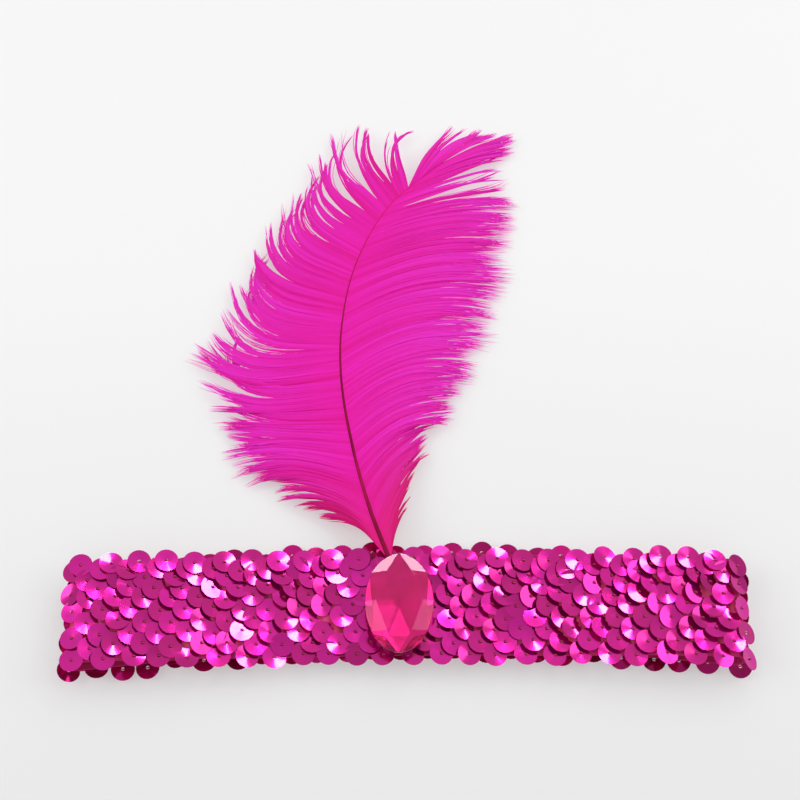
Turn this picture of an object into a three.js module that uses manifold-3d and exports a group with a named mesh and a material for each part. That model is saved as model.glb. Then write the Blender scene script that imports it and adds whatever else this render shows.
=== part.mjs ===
// Sequin stretch headband lying flat as a doubled loop, with an ostrich feather held under an oval stone.
// Millimetres, +Z up. X runs along the band and Y across it, towards the feather's tip.
// The origin is at the middle of the band, on the surface that it rests on.

import * as THREE from "three";
import { ConvexGeometry } from "three/addons/geometries/ConvexGeometry.js";
import { mergeVertices } from "three/addons/utils/BufferGeometryUtils.js";
import Module from "manifold-3d";

const wasm = await Module();
wasm.setup();

const gap = 0.3; // clearance between pieces that lie on each other
const speck = 1e-3; // smaller than any real distance here

// The knitted elastic loop, folded flat: two open folds at its ends, nearly shut in the middle
const band = {
  width: 29,
  wall: 1,
  foldX: 94.6, // where the end folds begin, either way from the middle
  foldHeight: 6.5, // between the middles of the two walls at the folds
  shutHeight: 2.2, // and where the loop is pressed shut
  shutX: 22, // the pressed stretch, either way from the middle
  ease: 34, // how gently the upper run comes down from the folds
  curveSteps: 8, // flats to each fold and slope
  flatStep: 17, // length of the flats on its straight runs
  lowerBow: 3.6, // how far the ends of the lower run lie nearer than its middle
  upperBow: 2.2, // and those of the upper run
  lowerShift: 2.4, // how far the middle of the lower run lies behind that of the upper one
};

// Cup sequins on a thread net, along the outside of the loop
const sequin = {
  radius: 3.5,
  sides: 10,
  pitch: 8.1, // along the band, between neighbours in one row
  lean: 0.3, // rise towards its left rim, for each millimetre along the band
  middle: 2.1, // height of its middle over the middle of the band's wall
  recess: 0.05, // how far the lower field's edge rows stay off the surface
};
const net = { thickness: 0.6, foot: band.wall / 2 + gap };
const flatField = net.foot + 1.6; // the lower field, pressed flat where it rests

// One row of sequins along the band: how far across it lies, and its shift along, in pitches
const sequinRows = [
  { across: 13.9, shift: 0.29 },
  { across: 9.4, shift: 0.79 },
  { across: 4.9, shift: 0.29 },
  { across: 0.4, shift: 0.79 },
  { across: -4.1, shift: 0.29 },
  { across: -8.6, shift: 0.79 },
  { across: -13.2, shift: 0.29 },
];

// The oval stone, rose cut on a flat back. Its rings and crown corners are shares of its half axes.
const gem = { x: -2, y: -0.6, halfWidth: 10, halfLength: 14.75, girdle: 1.45, crown: 3.2, peak: 5.2 };
const gemRings = [
  { height: 0, spread: 0.97, corners: 24 },
  { height: 0.4, spread: 1, corners: 24 },
];
const girdleTurns = [0, 36, 90, 144, 180, 216, 270, 324]; // degrees, where its outer facets meet at the girdle
const crownCorners = [
  { x: 0.68, y: 0 },
  { x: 0.35, y: 0.6 },
  { x: -0.35, y: 0.6 },
  { x: -0.68, y: 0 },
  { x: -0.35, y: -0.6 },
  { x: 0.35, y: -0.6 },
];
const gluePad = { halfWidth: 8.4, halfLength: 12.6, slotWidth: 3.2, slotEnd: 1.5 };

// The quill, from its end under the stone to the feather's tip
const quill = { rootRadius: 0.95, tipRadius: 0.3, sides: 6, steps: 18 };
const quillPoints = [
  { x: -2.5, y: 6, z: 9.2 },
  { x: -5.7, y: 15.3, z: 9.2 },
  { x: -10.6, y: 29, z: 8.6 },
  { x: -15.8, y: 49, z: 7.7 },
  { x: -19.5, y: 72, z: 6.8 },
  { x: -19.5, y: 91.5, z: 6.1 },
  { x: -15, y: 114, z: 5.4 },
  { x: -4.5, y: 135, z: 4.7 },
  { x: 10, y: 149.2, z: 4.2 },
];

// The two sides of the feather, a row for each section, by distance along the quill.
// reach: length of the barbs; heading: their way in plan, from +X towards +Y; curl: how far they turn.
const vane = {
  rootThickness: 1.4,
  tipThickness: 0.8,
  tipHeight: 1.5, // how high the tips lie
  fall: 1.4, // how late the barbs come down to it: 1 is a straight slope
  arch: 1.2, // rise of the barbs on the way
  dip: 0.7, // how far the partings lie below the locks
  partingSway: 0.06, // change of the partings' depth from lock to lock, as a share of the reach
  tipSway: 0.04, // and of the locks' length
  steps: 4,
};
const leftVane = {
  side: 1,
  locks: 18,
  parting: 0.7,
  sections: [
    { along: 11, reach: 22, heading: 156, curl: 25 },
    { along: 14, reach: 26, heading: 158, curl: 45 },
    { along: 20, reach: 32, heading: 164, curl: 45 },
    { along: 34, reach: 43, heading: 168, curl: 38 },
    { along: 54, reach: 43, heading: 166, curl: 12 },
    { along: 78, reach: 46, heading: 163, curl: -30 },
    { along: 94, reach: 39, heading: 150, curl: -55 },
    { along: 112, reach: 34, heading: 132, curl: -65 },
    { along: 131, reach: 31, heading: 111, curl: -55 },
    { along: 139, reach: 30, heading: 96, curl: -45 },
    { along: 144, reach: 25, heading: 76, curl: -35 },
    { along: 148, reach: 29, heading: 53, curl: -6 },
    { along: 155, reach: 28, heading: 38, curl: -4 },
  ],
  clefts: [{ along: 147, share: 0.2 }],
};
const rightVane = {
  side: -1,
  locks: 16,
  parting: 0.78,
  sections: [
    { along: 10, reach: 11, heading: 72, curl: -10 },
    { along: 20, reach: 17, heading: 45, curl: -25 },
    { along: 27, reach: 26, heading: 43, curl: -35 },
    { along: 34, reach: 27, heading: 39, curl: -38 },
    { along: 40, reach: 36, heading: 29, curl: -40 },
    { along: 54, reach: 42, heading: 22, curl: -40 },
    { along: 70, reach: 50, heading: 16, curl: -38 },
    { along: 92, reach: 55, heading: 13, curl: -32 },
    { along: 111, reach: 52, heading: 14, curl: -25 },
    { along: 133, reach: 43, heading: 12, curl: -15 },
    { along: 139, reach: 41, heading: 22, curl: -10 },
    { along: 155, reach: 31, heading: 27, curl: -10 },
  ],
  clefts: [{ along: 137, share: 0.4 }],
};

// Heights that follow from the sizes above
const lowerZ = flatField;
const upperZ = lowerZ + band.foldHeight;
const shutZ = lowerZ + band.shutHeight;
const foldZ = (lowerZ + upperZ) / 2;
const foldRadius = band.foldHeight / 2;
const fieldTopZ = shutZ + sequin.middle + sequin.lean * sequin.radius;
const padZ = fieldTopZ + gap;
const gemZ = quillPoints[0].z + quill.rootRadius + gap;

// Shared helpers

function toSolid(geometry) {
  geometry.deleteAttribute("normal");
  geometry.deleteAttribute("uv");
  const merged = mergeVertices(geometry, speck / 10);
  const triVerts = Uint32Array.from(merged.index.array);
  const vertProperties = merged.attributes.position.array;
  return new wasm.Manifold(new wasm.Mesh({ numProp: 3, vertProperties, triVerts }));
}

// The outer skin of a field, with the pockets that its sequins close off filled
function filled(solid) {
  return solid.decompose().reduce((most, part) => (part.volume() > most.volume() ? part : most));
}

function toGeometry(solid) {
  const mesh = solid.getMesh();
  const geometry = new THREE.BufferGeometry();
  geometry.setAttribute("position", new THREE.BufferAttribute(mesh.vertProperties, 3));
  geometry.setIndex(new THREE.BufferAttribute(mesh.triVerts, 1));
  return geometry;
}

function box(x0, x1, y0, y1, z0, z1) {
  const geometry = new THREE.BoxGeometry(x1 - x0, y1 - y0, z1 - z0);
  return geometry.translate((x0 + x1) / 2, (y0 + y1) / 2, (z0 + z1) / 2);
}

function material(color, roughness, metalness = 0) {
  return new THREE.MeshStandardMaterial({ color, roughness, metalness, flatShading: true });
}

function named(name, geometry, look) {
  const mesh = new THREE.Mesh(geometry, look);
  mesh.name = name;
  return mesh;
}

// A closed skin through rings of equal count; each end is closed across its ring.
// The far half of a ring is split the other way, so that both faces of a thin vane bend alike.
function skin(rings) {
  const count = rings[0].length;
  const index = [];
  for (let ring = 0; ring + 1 < rings.length; ring += 1) {
    for (let i = 0; i < count; i += 1) {
      const a = ring * count + i;
      const b = ring * count + ((i + 1) % count);
      if (i < count / 2) index.push(a, b, b + count, a, b + count, a + count);
      else index.push(a, b, a + count, b, b + count, a + count);
    }
  }
  const last = (rings.length - 1) * count;
  for (let i = 0; i + 1 < count / 2; i += 1) {
    const [a, b, c, d] = [i, i + 1, count - 2 - i, count - 1 - i];
    index.push(a, c, b, a, d, c);
    index.push(last + a, last + b, last + c, last + a, last + c, last + d);
  }
  const geometry = new THREE.BufferGeometry().setFromPoints(rings.flat());
  geometry.setIndex(index);
  return geometry;
}

// The loop's path in X and Z, through the middle of its wall, anticlockwise from the lower left
const loop = new THREE.Path();
loop.moveTo(-band.foldX, lowerZ);
loop.lineTo(band.foldX, lowerZ);
loop.absarc(band.foldX, foldZ, foldRadius, -Math.PI / 2, Math.PI / 2, false);
loop.bezierCurveTo(band.foldX - band.ease, upperZ, band.shutX + band.ease, shutZ, band.shutX, shutZ);
loop.lineTo(-band.shutX, shutZ);
loop.bezierCurveTo(-band.shutX - band.ease, shutZ, band.ease - band.foldX, upperZ, -band.foldX, upperZ);
loop.absarc(-band.foldX, foldZ, foldRadius, Math.PI / 2, Math.PI * 1.5, false);
const loopLength = loop.getLength();
const upperMiddle = band.foldX / loopLength + 0.5;
const foldMiddle = loopLength / 2 - band.foldX - (Math.PI * foldRadius) / 2; // along, from the upper middle

// A place on the loop, lifted outwards from the middle of its wall
function lifted(share, lift) {
  const turn = share - Math.floor(share);
  const point = loop.getPoint(turn);
  const tangent = loop.getTangent(turn);
  return new THREE.Vector2(point.x + tangent.y * lift, point.y - tangent.x * lift);
}

// Shares of the loop at which its walls have an edge, between two shares
function wallShares(from, to) {
  const shares = [from];
  let start = 0;
  for (const curve of loop.curves) {
    const part = curve.getLength() / loopLength;
    const steps = curve.isLineCurve ? Math.ceil(curve.getLength() / band.flatStep) : band.curveSteps;
    for (let i = 0; i < steps; i += 1) {
      const share = start + (part * i) / steps;
      for (const turn of [share, share + 1]) {
        if (turn > from + speck && turn < to - speck) shares.push(turn);
      }
    }
    start += part;
  }
  return [...shares.sort((a, b) => a - b), to];
}

function acrossBand(shape) {
  const options = { depth: band.width, bevelEnabled: false, curveSegments: 1 };
  const geometry = new THREE.ExtrudeGeometry(shape, options);
  return geometry.rotateX(Math.PI / 2).translate(0, band.width / 2, 0);
}

// The band as it lies: slightly bowed, with both ends nearer than its middle, and its lower run set back
function bowed(geometry) {
  const corners = geometry.attributes.position;
  const [top, foot] = [lowerZ + band.wall / 2, lowerZ + band.shutHeight - band.wall / 2];
  for (let i = 0; i < corners.count; i += 1) {
    const [x, y, z] = [corners.getX(i), corners.getY(i), corners.getZ(i)];
    const out = (x / band.foldX) ** 2;
    const bow = THREE.MathUtils.lerp(band.lowerBow, band.upperBow, z / upperZ);
    const lower = 1 - THREE.MathUtils.smoothstep(z, top, foot);
    corners.setY(i, y - bow * out + band.lowerShift * lower * Math.max(0, 1 - out));
  }
  return geometry;
}

function stretchBand() {
  const shares = wallShares(0, 1).slice(0, -1);
  const shape = new THREE.Shape(shares.map((share) => lifted(share, band.wall / 2)));
  shape.holes.push(new THREE.Path(shares.map((share) => lifted(share, -band.wall / 2))));
  return bowed(acrossBand(shape));
}

// A strip along the loop, between two lifts
function strip(from, to, inner, outer) {
  const shares = wallShares(from, to);
  const near = shares.map((share) => lifted(share, inner));
  const far = shares.map((share) => lifted(share, outer));
  return toSolid(acrossBand(new THREE.Shape([...far, ...near.reverse()])));
}

// One sequin at a distance along the upper run: a plug that stands in the net, with a leaning top
function sequinPlug(distance, across, middle, lean) {
  const foot = net.foot + net.thickness / 3;
  const share = upperMiddle - distance / loopLength;
  const place = lifted(share, 0);
  const outside = lifted(share, 1);
  const rim = [];
  for (let i = 0; i < sequin.sides; i += 1) {
    const angle = (i / sequin.sides) * Math.PI * 2;
    rim.push(new THREE.Vector2(Math.cos(angle), Math.sin(angle)).multiplyScalar(sequin.radius));
  }
  const options = { depth: middle - foot, bevelEnabled: false };
  const plug = new THREE.ExtrudeGeometry(new THREE.Shape(rim), options).translate(0, 0, foot);
  const corners = plug.attributes.position;
  for (let i = 0; i < corners.count; i += 1) {
    const isTop = corners.getZ(i) > foot + speck;
    if (isTop) corners.setZ(i, middle - lean * corners.getX(i));
  }
  const turn = Math.atan2(outside.x - place.x, outside.y - place.y);
  return toSolid(plug.rotateY(turn).translate(place.x, across, place.y));
}

// The sequins of one row whose middles lie within a reach of a place on the loop
function sequinRow(row, centre, reach, middle, lean) {
  const plugs = [];
  const count = Math.ceil(reach / sequin.pitch);
  for (let i = -count; i <= count; i += 1) {
    const distance = (i + row.shift) * sequin.pitch;
    if (Math.abs(distance) <= reach) plugs.push(sequinPlug(centre + distance, row.across, middle, lean));
  }
  return plugs;
}

// A field joined to its net and cut level at both folds, between two heights there
function joinedField(parts, cutFrom, cutTo) {
  let field = wasm.Manifold.union(parts);
  const end = band.foldX + foldRadius + 2 * sequin.radius;
  for (const [x0, x1] of [[-end, -band.foldX], [band.foldX, end]]) {
    field = field.subtract(toSolid(box(x0, x1, -band.width, band.width, cutFrom, cutTo)));
  }
  return bowed(toGeometry(filled(field)));
}

function sequinsFront() {
  const half = foldMiddle / loopLength;
  const parts = [strip(upperMiddle - half, upperMiddle + half, net.foot, net.foot + net.thickness)];
  for (const row of sequinRows) {
    parts.push(...sequinRow(row, 0, foldMiddle - sequin.radius / 2, sequin.middle, sequin.lean));
  }
  return joinedField(parts, lowerZ - band.width, foldZ + gap / 2);
}

// Only the edge rows of the lower field stand clear of its flat underside
function sequinsBack() {
  const half = 0.5 - foldMiddle / loopLength;
  const lowerMiddle = upperMiddle + 0.5;
  const parts = [strip(lowerMiddle - half, lowerMiddle + half, net.foot, flatField)];
  for (const row of [sequinRows[0], sequinRows[sequinRows.length - 1]]) {
    parts.push(...sequinRow(row, loopLength / 2, band.foldX - sequin.radius, flatField - sequin.recess, 0));
  }
  return joinedField(parts, foldZ - gap / 2, upperZ + band.width);
}

function gemStone() {
  const corners = [new THREE.Vector3(0, 0, gem.peak)];
  const addCorner = (x, y, z) => corners.push(new THREE.Vector3(x * gem.halfWidth, y * gem.halfLength, z));
  for (const { x, y } of crownCorners) addCorner(x, y, gem.crown);
  for (const ring of gemRings) {
    for (let i = 0; i < ring.corners; i += 1) {
      const angle = (i / ring.corners) * Math.PI * 2;
      addCorner(Math.cos(angle) * ring.spread, Math.sin(angle) * ring.spread, ring.height);
    }
  }
  for (const turn of girdleTurns.map(THREE.MathUtils.degToRad)) addCorner(Math.cos(turn), Math.sin(turn), gem.girdle);
  return new ConvexGeometry(corners);
}

const quillCurve = new THREE.CatmullRomCurve3(quillPoints.map(({ x, y, z }) => new THREE.Vector3(x, y, z)));
const quillLength = quillCurve.getLength();

function quillRadius(along) {
  return THREE.MathUtils.lerp(quill.rootRadius, quill.tipRadius, along / quillLength);
}

// A glue pad under the stone, slotted from its upper edge so that the quill's end lies in it
function pad() {
  const outline = new THREE.Shape();
  outline.absellipse(0, 0, gluePad.halfWidth, gluePad.halfLength, 0, Math.PI * 2, false, 0);
  const options = { depth: gemZ - padZ, bevelEnabled: false, curveSegments: 9 };
  const disc = new THREE.ExtrudeGeometry(outline, options).translate(gem.x, gem.y, padZ);
  const [end, edge] = quillPoints;
  const half = gluePad.slotWidth / 2;
  const slot = box(-half, half, -gluePad.slotEnd, gem.halfLength, padZ - 1, gemZ + 1);
  slot.rotateZ(Math.atan2(edge.y - end.y, edge.x - end.x) - Math.PI / 2).translate(end.x, end.y, 0);
  return toGeometry(toSolid(disc).subtract(toSolid(slot)));
}

function featherQuill() {
  const rings = [];
  for (let step = 0; step <= quill.steps; step += 1) {
    const share = step / quill.steps;
    const middle = quillCurve.getPointAt(share);
    const way = quillCurve.getTangentAt(share);
    const aside = new THREE.Vector3(-way.y, way.x, 0).normalize();
    const up = new THREE.Vector3().crossVectors(way, aside);
    const radius = quillRadius(share * quillLength);
    const ring = [];
    for (let i = 0; i < quill.sides; i += 1) {
      const angle = (i / quill.sides) * Math.PI * 2;
      const point = middle.clone().addScaledVector(aside, Math.cos(angle) * radius);
      ring.push(point.addScaledVector(up, Math.sin(angle) * radius));
    }
    rings.push(ring);
  }
  return skin(rings);
}

// The feather's section at a distance along the quill, between the rows of its table
function section(sections, along) {
  let row = 0;
  while (row + 2 < sections.length && sections[row + 1].along < along) row += 1;
  const [before, after] = [sections[row], sections[row + 1]];
  const t = THREE.MathUtils.clamp((along - before.along) / (after.along - before.along), 0, 1);
  const at = (column) => THREE.MathUtils.lerp(before[column], after[column], t);
  return { reach: at("reach"), heading: at("heading"), curl: at("curl") };
}

// One line of barbs from the quill outwards, as the upper and lower points of the vane there
function barbRing(feather, along, share, dip) {
  const { reach, heading, curl } = section(feather.sections, along);
  const root = quillCurve.getPointAt(along / quillLength);
  const way = quillCurve.getTangentAt(along / quillLength);
  const aside = new THREE.Vector3(-way.y, way.x, 0).normalize().multiplyScalar(feather.side);
  const place = root.clone().addScaledVector(aside, quillRadius(along) + gap);
  const upper = [];
  const lower = [];
  for (let step = 0; step <= vane.steps; step += 1) {
    const out = (share * step) / vane.steps;
    const fall = (root.z - vane.tipHeight) * out ** vane.fall;
    const lift = vane.arch * Math.sin(Math.PI * out) - dip * out;
    const half = THREE.MathUtils.lerp(vane.rootThickness, vane.tipThickness, out) / 2;
    const z = Math.max(root.z - fall + lift, vane.tipHeight);
    upper.push(new THREE.Vector3(place.x, place.y, z + half));
    lower.unshift(new THREE.Vector3(place.x, place.y, z - half));
    const angle = THREE.MathUtils.degToRad(heading - curl / 2 + curl * (out + share / vane.steps / 2));
    const stride = (reach * share) / vane.steps;
    place.add(new THREE.Vector3(Math.cos(angle) * stride, Math.sin(angle) * stride, 0));
  }
  return [...upper, ...lower];
}

// One side of the feather: locks that grow together at the quill and part towards their tips
function featherVane(feather) {
  const first = feather.sections[0].along;
  const last = Math.min(feather.sections[feather.sections.length - 1].along, quillLength);
  const lockWidth = (last - first) / feather.locks;
  const rings = [];
  for (let lock = 0; lock <= feather.locks; lock += 1) {
    const edge = first + lockWidth * lock;
    const cleft = feather.clefts.find((each) => Math.abs(each.along - edge) < lockWidth / 2);
    const parting = cleft ? cleft.share : feather.parting + vane.partingSway * Math.sin(lock * 2.4);
    rings.push(barbRing(feather, edge, parting, vane.dip));
    const tip = 0.99 + vane.tipSway * Math.sin(lock * 4.1);
    if (lock < feather.locks) rings.push(barbRing(feather, edge + lockWidth / 2, tip, 0));
  }
  return skin(feather.side > 0 ? rings.reverse() : rings);
}

// Materials

const knit = material(0xc9326b, 0.9);
const film = material(0xc8379a, 0.25, 0.6);
const glue = material(0xd9c8cf, 0.3);
const acrylic = material(0xd6347a, 0.1);
const stem = material(0x82233c, 0.5);
const barbs = material(0xe623a9, 0.8);

// The headband

const headband = new THREE.Group();
headband.add(named("stretch_band", stretchBand(), knit));
headband.add(named("sequins_front", sequinsFront(), film));
headband.add(named("sequins_back", sequinsBack(), film));
headband.add(named("glue_pad", pad(), glue));
const stone = named("gem_stone", gemStone(), acrylic);
stone.position.set(gem.x, gem.y, gemZ + gap);
headband.add(stone);
headband.add(named("feather_quill", featherQuill(), stem));
headband.add(named("feather_vane_left", featherVane(leftVane), barbs));
headband.add(named("feather_vane_right", featherVane(rightVane), barbs));

export default headband;
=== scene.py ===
# Sequin stretch headband with an ostrich feather and an oval stone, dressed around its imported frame
import bmesh
import bpy
import math
import numpy as np
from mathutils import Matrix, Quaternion, Vector


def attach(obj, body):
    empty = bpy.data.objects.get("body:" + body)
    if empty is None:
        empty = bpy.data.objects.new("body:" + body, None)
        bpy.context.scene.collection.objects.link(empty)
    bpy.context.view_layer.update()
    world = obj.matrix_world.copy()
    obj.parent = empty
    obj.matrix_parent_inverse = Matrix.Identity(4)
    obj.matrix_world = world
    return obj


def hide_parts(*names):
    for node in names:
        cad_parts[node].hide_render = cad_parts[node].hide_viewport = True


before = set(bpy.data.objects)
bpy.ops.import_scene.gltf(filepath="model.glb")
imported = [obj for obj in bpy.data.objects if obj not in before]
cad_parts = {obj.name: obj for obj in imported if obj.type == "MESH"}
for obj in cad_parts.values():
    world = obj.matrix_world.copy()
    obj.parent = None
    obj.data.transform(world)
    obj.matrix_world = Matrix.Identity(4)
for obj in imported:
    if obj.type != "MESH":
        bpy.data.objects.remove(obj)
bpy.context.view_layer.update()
scene = bpy.context.scene
mm = 0.001
tiny = 1e-6
dice = np.random.default_rng(1926)


# lines and meshes

def smoothstep(low, high, value):
    t = np.clip((value - low) / (high - low), 0, 1)
    return t * t * (3 - 2 * t)


def unit(vectors):
    return vectors / np.maximum(np.linalg.norm(vectors, axis=-1, keepdims=True), 1e-12)


def lengthsAlong(line):
    return np.append(0, np.cumsum(np.linalg.norm(np.diff(line, axis=0), axis=1)))


def pointsAt(along, lengths, line):
    return np.stack([np.interp(along, lengths, column) for column in line.T], axis=-1)


def levelAside(way):
    # level, and to the left of a way
    return unit(np.stack([-way[..., 1], way[..., 0], np.zeros_like(way[..., 0])], axis=-1))


def tubeFaces(rings, sides):
    # between rings of points, with a cap at each end
    faces = []
    for ring in range(rings - 1):
        for i in range(sides):
            a, b = ring * sides + i, ring * sides + (i + 1) % sides
            faces.append((a, b, b + sides, a + sides))
    faces.append(tuple(range(sides))[::-1])
    faces.append(tuple(range((rings - 1) * sides, rings * sides)))
    return faces


def addObject(name, data):
    made = bpy.data.objects.new(name, data)
    scene.collection.objects.link(made)
    return made


def meshPiece(name, points, faces, material):
    mesh = bpy.data.meshes.new(name)
    mesh.from_pydata(np.asarray(points).tolist(), [], [list(map(int, face)) for face in faces])
    mesh.validate()
    mesh.materials.append(material)
    mesh.polygons.foreach_set("use_smooth", [True] * len(mesh.polygons))
    return addObject(name, mesh)


def pointAttribute(mesh, name, values, kind="FLOAT"):
    layer = mesh.attributes.new(name, kind, "POINT")
    layer.data.foreach_set("vector" if kind == "FLOAT_VECTOR" else "value", np.ravel(values))


def dress(piece, solid):
    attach(piece, "root")
    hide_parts(solid)
    print(piece.name, len(piece.data.polygons), "faces")


# nodes and materials

def link(source, target):
    target.id_data.links.new(source, target)


def setInputs(made, values):
    for key, value in values.items():
        made.inputs[key].default_value = value


def node(tree, kind, settings=None, inputs=None):
    made = tree.nodes.new(kind)
    for key, value in (settings or {}).items():
        setattr(made, key, value)
    setInputs(made, inputs or {})
    return made


def newMaterial(name):
    material = bpy.data.materials.new(name)
    material.use_nodes = True
    tree = material.node_tree
    return material, tree, tree.nodes["Principled BSDF"]


def opaque(colour):
    return (*colour, 1)


def attribute(tree, name):
    return node(tree, "ShaderNodeAttribute", {"attribute_name": name}).outputs["Fac"]


def placeParts(tree, kind):
    split = node(tree, "ShaderNodeSeparateXYZ")
    link(node(tree, "ShaderNodeTexCoord").outputs[kind], split.inputs[0])
    return split.outputs


def noise(tree, scale, detail, stretch=None):
    source = node(tree, "ShaderNodeTexCoord").outputs["Object"]
    if stretch:
        mapping = node(tree, "ShaderNodeMapping", None, {"Scale": stretch})
        link(source, mapping.inputs[0])
        source = mapping.outputs[0]
    made = node(tree, "ShaderNodeTexNoise", None, {"Scale": scale, "Detail": detail})
    link(source, made.inputs["Vector"])
    return made.outputs["Fac"]


def mapRange(tree, source, limits):
    made = node(tree, "ShaderNodeMapRange", None, limits)
    link(source, made.inputs[0])
    return made.outputs[0]


def ramp(tree, source, stops):
    made = node(tree, "ShaderNodeValToRGB")
    while len(made.color_ramp.elements) < len(stops):
        made.color_ramp.elements.new(0.5)
    for element, (place, colour) in zip(made.color_ramp.elements, stops):
        element.position = place
        element.color = opaque(colour)
    link(source, made.inputs[0])
    return made.outputs[0]


def mixColours(tree, amount, first, second, blend="MIX"):
    # each of the three is a socket or a plain value; 6, 7 and 2 are the node's colour sockets
    made = node(tree, "ShaderNodeMix", {"data_type": "RGBA", "blend_type": blend})
    for place, source in ((0, amount), (6, first), (7, second)):
        if isinstance(source, bpy.types.NodeSocket):
            link(source, made.inputs[place])
        else:
            made.inputs[place].default_value = source
    return made.outputs[2]


def mixSurfaces(tree, share, first, second):
    both = node(tree, "ShaderNodeMixShader", None, {0: share})
    link(first.outputs[0], both.inputs[1])
    link(second.outputs[0], both.inputs[2])
    link(both.outputs[0], tree.nodes["Material Output"].inputs["Surface"])


# camera, floor and light

view = {
    "place": (-1.3, -119.5, 441.8),  # mm
    "target": (-1.3, 68.0, 0.0),  # mm
    "roll": -0.5,  # degrees
    "lens": 68.7,
    "sensor": 36.0,
    "nearest": 0.01,  # m
}


def aimed(place, target):
    return (Vector(target) - Vector(place)).to_track_quat("-Z", "Y")


def setCamera():
    camera = addObject("camera", bpy.data.cameras.new("camera"))
    place, target = Vector(view["place"]) * mm, Vector(view["target"]) * mm
    camera.rotation_mode = "QUATERNION"
    camera.rotation_quaternion = aimed(place, target) @ Quaternion((0, 0, 1), math.radians(view["roll"]))
    camera.location = place
    camera.data.lens = view["lens"]
    camera.data.sensor_width = view["sensor"]
    camera.data.clip_start = view["nearest"]
    scene.camera = camera


studio = {
    "floorHalf": 1.5,  # m
    "floorDrop": 0.0002,  # m, so that no piece lies in the same plane
    # the floor is painted darker towards the viewer, from the far tone to the near one: painted shade
    "floorShadedNear": (0.81, 0.81, 0.81),
    "floorFar": (0.92, 0.92, 0.92),
    "floorSpan": (-0.11, 0.12),  # m, from the near tone to the far one
    "floorPaintedGlow": 0.45,  # the share of its tone given as a glow of its own, painted light that lightens the shadows cast on it
    "floorFinish": {"Roughness": 0.8, "Specular IOR Level": 0.2},
    "skyHeights": ((0.0, 0.6), (0.3, 0.85), (0.6, 1.1), (0.85, 1.1), (0.93, 0.97), (1.0, 0.88)),  # dimmer overhead
    "skyDepths": ((0.0, 0.75), (0.4, 0.9), (0.7, 1.1)),  # darker behind the viewer
    "skyStrength": 0.62,
    "lampAim": (0.0, 0.06, 0.0),  # m
    # name, place in m, size in m, watts, and what it gives: light, glints or both
    "lamps": (
        ("backPane", (0.34, 0.75, 0.75), 0.5, 1.25, "light"),
        ("stonePane", (0.0, 0.51, 0.915), 0.15, 0.075, "light"),
        ("facetPane", (0.34, 0.41, 0.9), 0.3, 0.14, "light"),
        ("leftPane", (-0.8, 0.15, 0.6), 0.6, 3.0, "both"),
        ("rightPane", (0.8, 0.15, 0.6), 0.6, 2.6, "both"),
        ("farLeftWindow", (-0.45, 1.05, 0.12), 0.35, 4.5, "glints"),
        ("farRightWindow", (0.45, 1.05, 0.12), 0.35, 4.8, "glints"),
        ("highGlint", (0.15, 0.66, 0.76), 0.16, 2.3, "glints"),
        ("lowGlint", (0.6, 0.6, 0.57), 0.14, 1.4, "glints"),
    ),
}


def grey(stops):
    return tuple((place, (tone, tone, tone)) for place, tone in stops)


def floorMaterial():
    material, tree, shader = newMaterial("paleFloor")
    # painted shade: the floor's tone darkens towards the viewer
    near, far = studio["floorSpan"]
    depth = mapRange(tree, placeParts(tree, "Object")["Y"], {"From Min": near, "From Max": far})
    tones = ramp(tree, depth, ((0.0, studio["floorShadedNear"]), (1.0, studio["floorFar"])))
    link(tones, shader.inputs["Base Color"])
    setInputs(shader, studio["floorFinish"])
    # a painted glow in the floor's own tone, which lightens the shadows cast on it
    glow = node(tree, "ShaderNodeEmission")
    link(tones, glow.inputs["Color"])
    mixSurfaces(tree, studio["floorPaintedGlow"], shader, glow)
    return material


def studioSky():
    world = bpy.data.worlds.new("studioSky")
    world.use_nodes = True
    tree = world.node_tree
    back = tree.nodes["Background"]
    parts = placeParts(tree, "Generated")
    heights = ramp(tree, parts["Z"], grey(studio["skyHeights"]))
    depth = mapRange(tree, parts["Y"], {"From Min": -1.0, "From Max": 1.0})
    depths = ramp(tree, depth, grey(studio["skyDepths"]))
    link(mixColours(tree, 1.0, heights, depths, "MULTIPLY"), back.inputs["Color"])
    back.inputs["Strength"].default_value = studio["skyStrength"]
    scene.world = world


def setStudio():
    half = studio["floorHalf"]
    corners = [(-half, -half, 0), (half, -half, 0), (half, half, 0), (-half, half, 0)]
    floor = meshPiece("floor", corners, [(0, 1, 2, 3)], floorMaterial())
    floor.location.z = -studio["floorDrop"]
    studioSky()
    for name, place, size, watts, gives in studio["lamps"]:
        lamp = bpy.data.lights.new(name, "AREA")
        lamp.size = size
        lamp.energy = watts
        holder = addObject(name, lamp)
        holder.location = place
        holder.rotation_mode = "QUATERNION"
        holder.rotation_quaternion = aimed(place, studio["lampAim"])
        holder.visible_diffuse = gives != "glints"
        holder.visible_transmission = gives != "glints"
        holder.visible_glossy = gives != "light"
    scene.view_settings.view_transform = "Standard"


setCamera()
setStudio()
print("camera and studio set")


# the loop of the band, in X and Z, through the middle of its wall

band = {
    "width": 29.0,  # this and all sizes below are in mm
    "wall": 1.0,
    "foldX": 94.6,  # where a fold begins, either side of the middle
    "foldHeight": 6.5,  # between the runs at a fold
    "shutHeight": 2.2,  # and where the middle is pressed shut
    "shutX": 22.0,  # half the stretch that is pressed shut
    "ease": 34.0,  # handles of the slope between the two
    "lowerZ": 2.4,
    "lowerBow": 3.6,  # how much nearer the ends lie
    "upperBow": 2.2,
    "bowLimit": 1.5,  # the bow changes with height up to this share of a fold's top
    "lowerShift": 2.4,  # how far the lower run is set back
    "steps": {"run": 100, "arc": 80, "slope": 200, "shut": 60},
    "probe": 0.15,  # each way along the loop, to read its direction
}


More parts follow.
